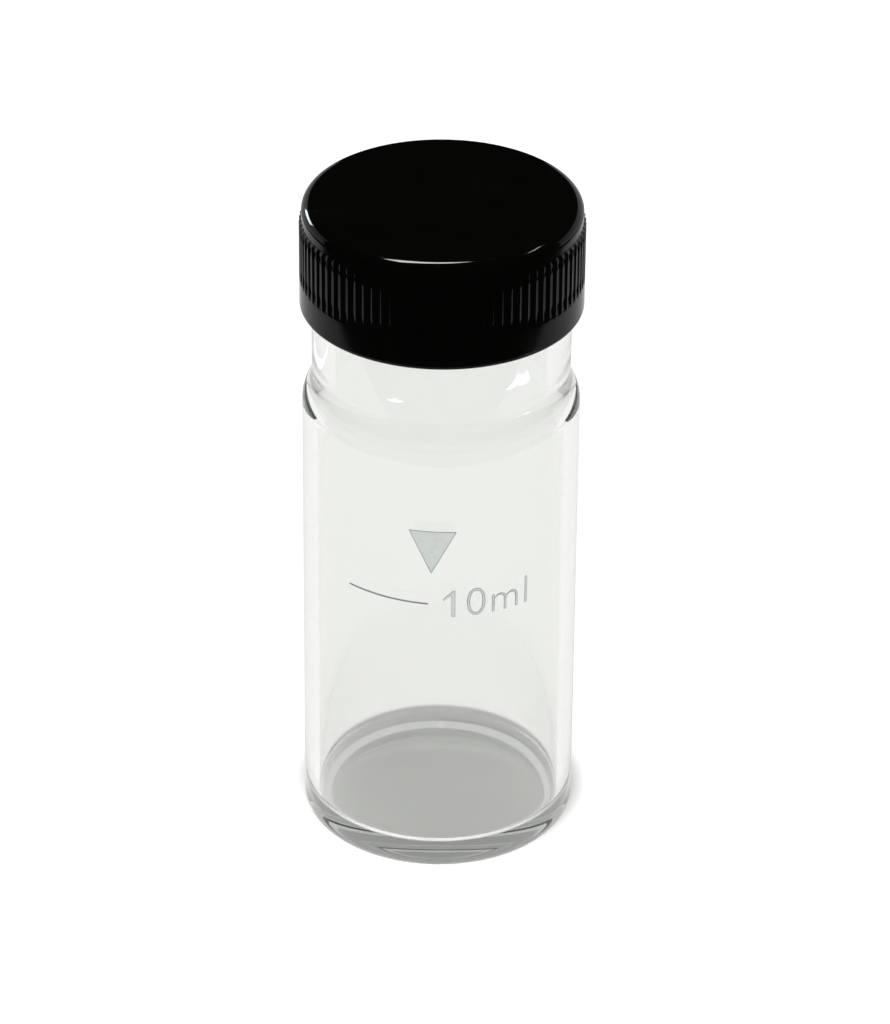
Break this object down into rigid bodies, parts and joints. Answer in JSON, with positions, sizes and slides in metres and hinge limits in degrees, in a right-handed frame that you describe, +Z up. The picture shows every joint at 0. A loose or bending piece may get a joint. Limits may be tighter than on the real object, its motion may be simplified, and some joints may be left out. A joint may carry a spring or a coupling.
{
  "type": "sample vial",
  "caption": "Clear round glass sample vial with a shoulder, a neck and a black ribbed screw cap, printed with a fill line and an alignment mark for photometer readings.",
  "frame": {"origin": "middle of the flat ring that the vial stands on", "axes": "+Z up along the vial's axis, from the base to the cap; -Y towards the printed fill line and mark"},
  "size_m": [0.025, 0.025, 0.062],
  "materials": {
    "clear_glass": "clear",
    "cap_plastic": "gloss",
    "liner_foam": "matte"
  },
  "bodies": {
    "glass": {"vial": "clear_glass"},
    "seal": {"liner": "liner_foam"},
    "closure": {"cap": "cap_plastic"}
  },
  "joints": [
    {"name": "cap_rise", "type": "slide", "parent": "glass", "child": "seal", "axis": [0, 0, 1], "range_m": [0, 0.01588]},
    {"name": "cap_turn", "type": "hinge", "parent": "seal", "child": "closure", "pos_m": [0, 0, 0.057], "axis": [0, 0, 1], "range_deg": [0, 1800]}
  ],
  "couplings": [
    {"joint": "cap_rise", "follows": "cap_turn", "m_per_rad": 0.00050532}
  ]
}
